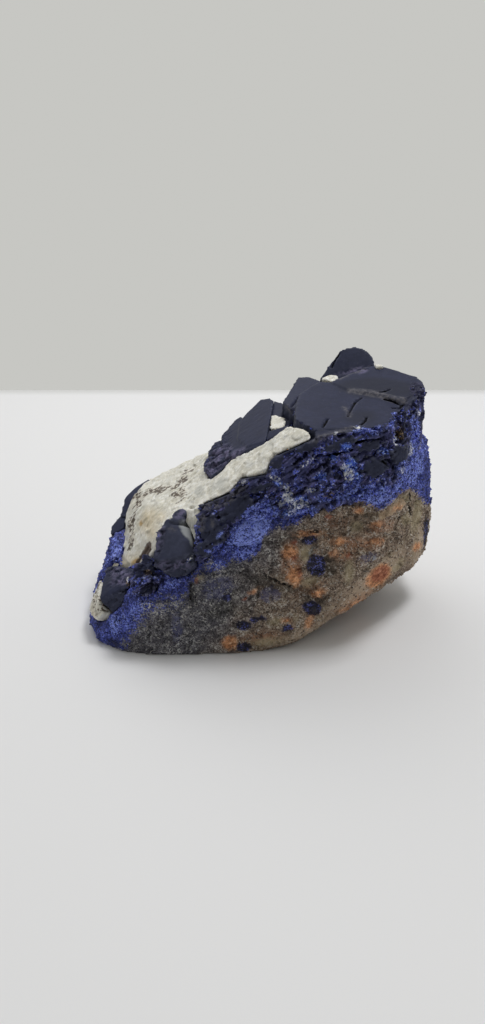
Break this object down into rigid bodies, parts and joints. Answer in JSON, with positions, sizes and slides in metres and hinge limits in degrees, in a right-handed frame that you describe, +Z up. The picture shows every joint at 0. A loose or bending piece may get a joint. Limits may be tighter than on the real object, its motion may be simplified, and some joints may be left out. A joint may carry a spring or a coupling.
{
  "type": "lazurite crystal specimen on host rock",
  "caption": "Wedge-shaped block of grey-brown host rock carrying a cluster of dark blue lazurite crystals and a band of white calcite along its sloping top.",
  "frame": {"origin": "under the middle of the specimen's box, on the surface it rests on", "axes": "+X along the length towards the high overhanging end, +Y away from the best side, +Z up"},
  "size_m": [0.1352, 0.0772, 0.0958],
  "materials": {
    "host_rock": "matte",
    "calcite": "satin",
    "lazurite": "satin"
  },
  "bodies": {
    "root": {"host_rock": "host_rock", "calcite_band": "calcite", "calcite_pocket_low": "calcite", "calcite_pocket_high": "calcite", "calcite_pocket_peak": "calcite", "calcite_toe": "calcite", "crystal_cluster": "lazurite", "crystal_ridge": "lazurite", "crystal_peak": "lazurite", "crystal_front": "lazurite", "crystal_spur": "lazurite", "crystal_toe": "lazurite", "crystal_rim": "lazurite"}
  },
  "joints": []
}
